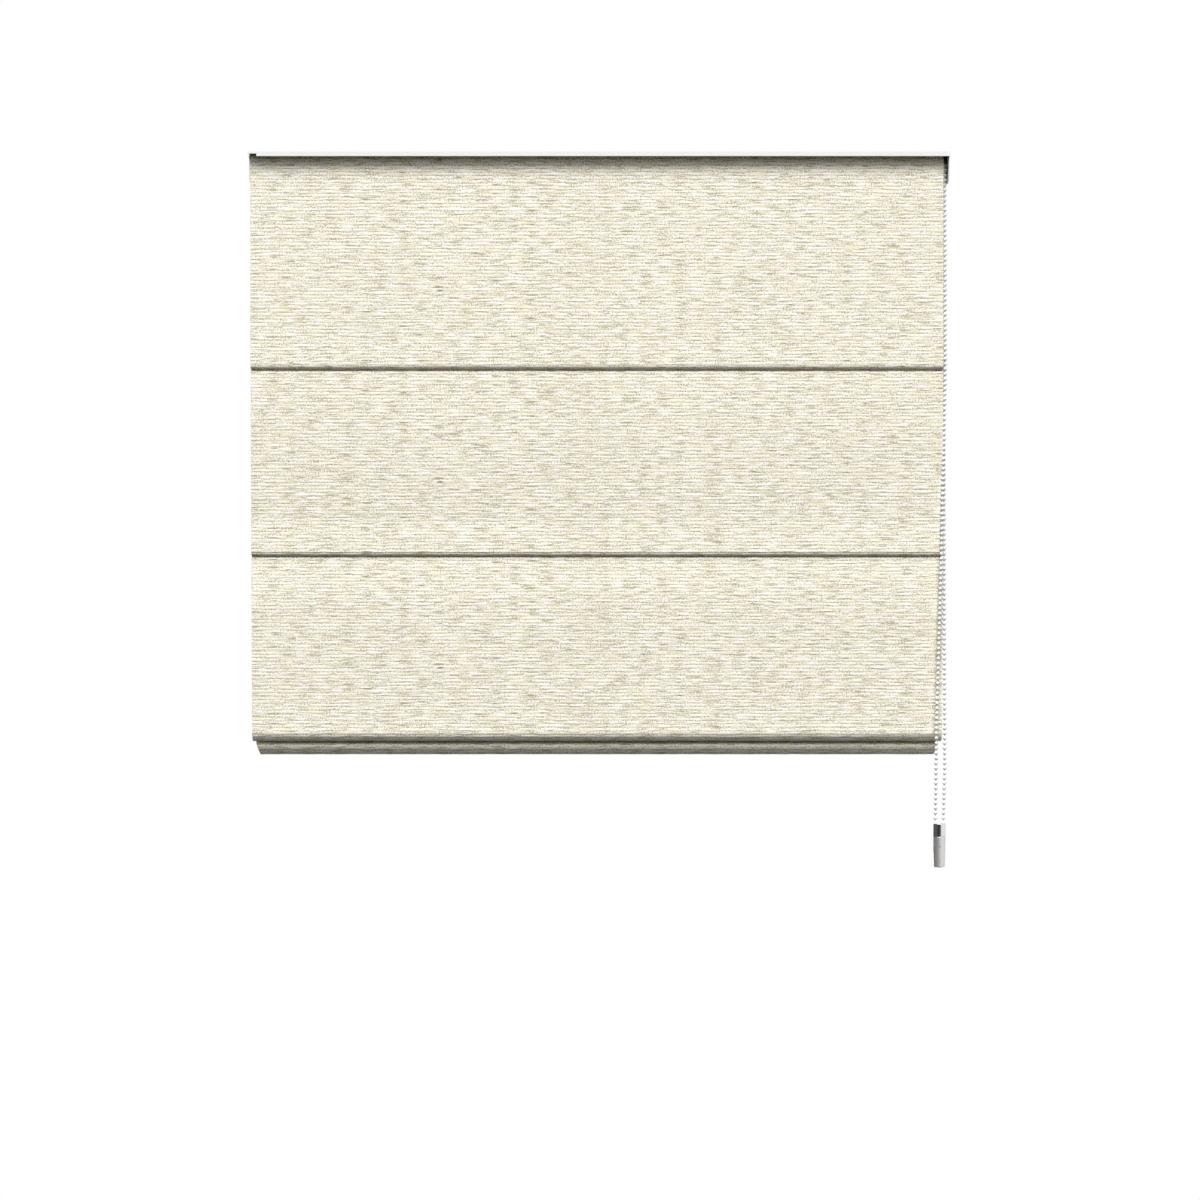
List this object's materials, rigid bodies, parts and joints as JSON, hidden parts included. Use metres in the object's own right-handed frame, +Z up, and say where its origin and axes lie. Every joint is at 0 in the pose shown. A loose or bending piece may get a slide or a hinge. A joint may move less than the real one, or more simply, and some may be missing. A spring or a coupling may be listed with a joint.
{
  "type": "roman blind",
  "caption": "Roman blind of ribbed cream cloth on a slim headrail, raised and lowered by an endless bead chain that turns cord spools.",
  "frame": {"origin": "midway between the two bracket screw holes, on the top faces of the brackets", "axes": "+X along the width, to the right seen from the room; -Y towards the room; +Z up"},
  "size_m": [0.8413, 0.0682, 0.8595],
  "materials": {
    "cloth": "slub weave",
    "tape": "napped",
    "cord": "braided",
    "white_aluminium": "powder coat",
    "white_plastic": "moulded",
    "grey_plastic": "moulded",
    "aluminium": "mill",
    "steel": "zinc plated",
    "chrome": "polished",
    "satin_metal": "satin"
  },
  "bodies": {
    "headrail": {"headrail": "white_aluminium", "left_end_cap": "white_plastic", "control_housing": "white_plastic", "hook_tape": "tape", "loop_tape": "tape", "bracket_left": "steel", "bracket_right": "steel", "cradle_left": "grey_plastic", "cradle_centre": "grey_plastic", "cradle_right": "grey_plastic", "lift_cord_left": "cord", "lift_cord_centre": "cord", "lift_cord_right": "cord", "blind_fabric": "cloth", "batten_1": "grey_plastic", "batten_1_tips": "white_plastic", "bead_chain": "white_plastic", "weight_cap": "chrome", "weight_body": "satin_metal", "weight_pin": "steel"},
    "drive": {"spool_left": "white_plastic", "spool_centre": "white_plastic", "spool_right": "white_plastic", "cord_turns": "cord", "drive_shaft": "aluminium", "shaft_bush": "grey_plastic", "chain_wheel": "grey_plastic", "wrap_spring": "steel", "drive_coupling": "grey_plastic"},
    "upper_fold": {"batten_2": "grey_plastic", "batten_3": "grey_plastic", "upper_batten_tips": "white_plastic", "cord_guides": "white_plastic"},
    "lower_fold": {"batten_4": "grey_plastic", "batten_4_tips": "white_plastic", "fold_rings": "white_plastic", "cord_stops": "white_plastic", "bottom_tube": "aluminium", "tube_plugs": "white_plastic"}
  },
  "joints": [
    {"name": "lift_upper", "type": "slide", "parent": "headrail", "child": "upper_fold", "axis": [0, 0, 1], "range_m": [0, 0.42223], "deforming": ["blind_fabric", "lift_cord_left", "lift_cord_centre", "lift_cord_right"]},
    {"name": "lift_lower", "type": "slide", "parent": "upper_fold", "child": "lower_fold", "axis": [0, 0, 1], "range_m": [-0.44, 0], "deforming": ["blind_fabric", "lift_cord_left", "lift_cord_centre", "lift_cord_right"]},
    {"name": "drive_turn", "type": "hinge", "parent": "headrail", "child": "drive", "pos_m": [0, -0.0217, -0.0205], "axis": [1, 0, 0], "range_deg": [0, 3024], "deforming": ["bead_chain"]}
  ],
  "couplings": [
    {"joint": "drive_turn", "follows": "lift_upper", "rad_per_m": 125}
  ]
}
